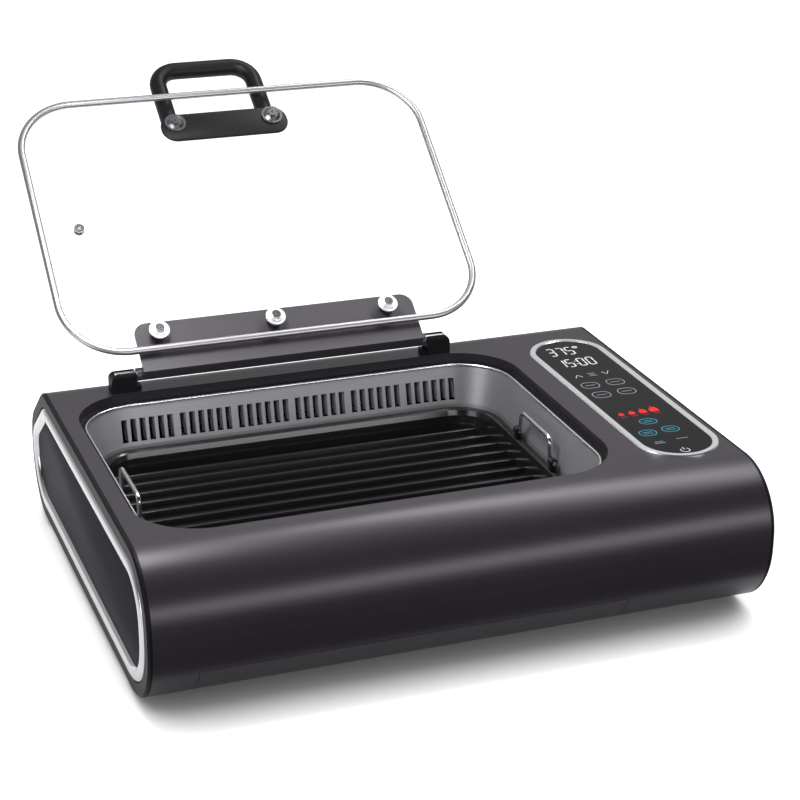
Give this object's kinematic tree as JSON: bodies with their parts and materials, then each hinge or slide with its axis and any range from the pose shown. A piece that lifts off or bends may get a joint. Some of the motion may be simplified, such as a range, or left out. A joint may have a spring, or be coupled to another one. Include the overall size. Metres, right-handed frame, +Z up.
{
  "type": "electric indoor grill with lid",
  "caption": "Countertop electric grill with a round-fronted black housing, bright-ringed ends, hinged glass lid, ridged plate over a slotted basket, touch panel and slide-out drip tray.",
  "frame": {"origin": "on the worktop, under the middle of the whole object with its lid open", "axes": "+X along the body towards the control panel, +Y from the rounded front to the back, +Z up"},
  "size_m": [0.55, 0.6674, 0.3701],
  "materials": {
    "satin_black_sheet": "satin black powder coat",
    "black_cap": "fine-grained moulded black",
    "bright_trim": "polished",
    "grey_panel": "smooth dark grey",
    "brushed_liner": "brushed",
    "galvanised_sheet": "plain zinc-coated sheet",
    "base_moulding": "dull black moulding",
    "rubber_black": "soft matt",
    "zinc_screw": "zinc plated",
    "element_sheath": "heat-dulled sheath",
    "probe_steel": "bright drawn tube",
    "duct_grey": "moulded, heat resistant",
    "motor_steel": "plated can",
    "bronze": "sintered",
    "wheel_blue": "moulded blades",
    "shaft_steel": "ground",
    "bezel_silver": "satin bright",
    "black_glass": "gloss black with lit marks",
    "module_black": "gloss",
    "circuit_board": "green solder mask",
    "board_components": "mixed moulded parts",
    "gland_black": "moulded",
    "hinge_black": "moulded",
    "tray_moulding": "satin black powder coat",
    "clear_glass": "clear tempered",
    "rim_steel": "brushed",
    "bracket_black": "satin black",
    "bright_fastener": "polished steel",
    "silicone": "matt",
    "handle_black": "moulded heat-proof black",
    "dark_steel": "dark turned steel",
    "plate_enamel": "die-cast, with a gloss black non-stick coat",
    "basket_coating": "blue-black non-stick coat",
    "wire_steel": "polished wire",
    "lug_steel": "plain"
  },
  "bodies": {
    "body": {"housing_shell": "satin_black_sheet", "left_end_cap": "black_cap", "right_end_cap": "black_cap", "left_trim_ring": "bright_trim", "right_trim_ring": "bright_trim", "left_side_panel": "grey_panel", "right_side_panel": "grey_panel", "base_pan": "base_moulding", "rubber_feet": "rubber_black", "base_screws": "zinc_screw", "well_liner": "brushed_liner", "reflector_pan": "galvanised_sheet", "heating_element": "element_sheath", "element_clips": "galvanised_sheet", "temperature_probe": "probe_steel", "heat_shield": "galvanised_sheet", "blower_housing": "duct_grey", "blower_motor": "motor_steel", "wheel_bearing": "bronze", "control_bezel": "bezel_silver", "control_glass": "black_glass", "display_module": "module_black", "touch_board": "circuit_board", "power_board": "circuit_board", "board_parts": "board_components", "cord_gland": "gland_black", "left_hinge_block": "hinge_black", "right_hinge_block": "hinge_black", "hinge_block_screws": "zinc_screw"},
    "blower": {"blower_wheel": "wheel_blue", "wheel_shaft": "shaft_steel"},
    "drip_tray": {"drip_tray": "tray_moulding"},
    "lid": {"lid_glass": "clear_glass", "lid_rim": "rim_steel", "hinge_bracket": "bracket_black", "hinge_rod": "shaft_steel", "bracket_gaskets": "silicone", "bracket_washers": "bright_fastener", "bracket_screws": "bright_fastener", "vent_grommet": "bright_fastener", "lid_handle": "handle_black", "handle_strip": "handle_black", "handle_gaskets": "silicone", "handle_washers": "dark_steel", "handle_screws": "dark_steel"},
    "basket": {"crisper_basket": "basket_coating", "basket_lugs": "lug_steel"},
    "basket_bail_left": {"basket_bail_left": "wire_steel"},
    "basket_bail_right": {"basket_bail_right": "wire_steel"},
    "grill_plate": {"grill_plate": "plate_enamel"},
    "plate_bail_left": {"plate_bail_left": "wire_steel"},
    "plate_bail_right": {"plate_bail_right": "wire_steel"}
  },
  "joints": [
    {"name": "lid_hinge", "type": "hinge", "parent": "body", "child": "lid", "pos_m": [-0.045, 0.0393, 0.1525], "axis": [-1, 0, 0], "range_deg": [-142.5, 0]},
    {"name": "drip_tray_slide", "type": "slide", "parent": "body", "child": "drip_tray", "axis": [0, -1, 0], "range_m": [0, 0.3]},
    {"name": "basket_lift", "type": "slide", "parent": "body", "child": "basket", "axis": [0, 0, 1], "range_m": [0, 0.16]},
    {"name": "plate_lift", "type": "slide", "parent": "basket", "child": "grill_plate", "axis": [0, 0, 1], "range_m": [0, 0.12]},
    {"name": "basket_bail_left_swing", "type": "hinge", "parent": "basket", "child": "basket_bail_left", "pos_m": [-0.2283, -0.1187, 0.0585], "axis": [0, 1, 0], "range_deg": [-80, 0]},
    {"name": "basket_bail_right_swing", "type": "hinge", "parent": "basket", "child": "basket_bail_right", "pos_m": [0.1383, -0.1187, 0.0585], "axis": [0, 1, 0], "range_deg": [0, 80]},
    {"name": "plate_bail_left_swing", "type": "hinge", "parent": "grill_plate", "child": "plate_bail_left", "pos_m": [-0.234, -0.1187, 0.098], "axis": [0, 1, 0], "range_deg": [-12, 75]},
    {"name": "plate_bail_right_swing", "type": "hinge", "parent": "grill_plate", "child": "plate_bail_right", "pos_m": [0.144, -0.1187, 0.098], "axis": [0, 1, 0], "range_deg": [-75, 12]},
    {"name": "blower_spin", "type": "hinge", "parent": "body", "child": "blower", "pos_m": [-0.045, 0.0723, 0.078], "axis": [1, 0, 0], "continuous": true}
  ]
}
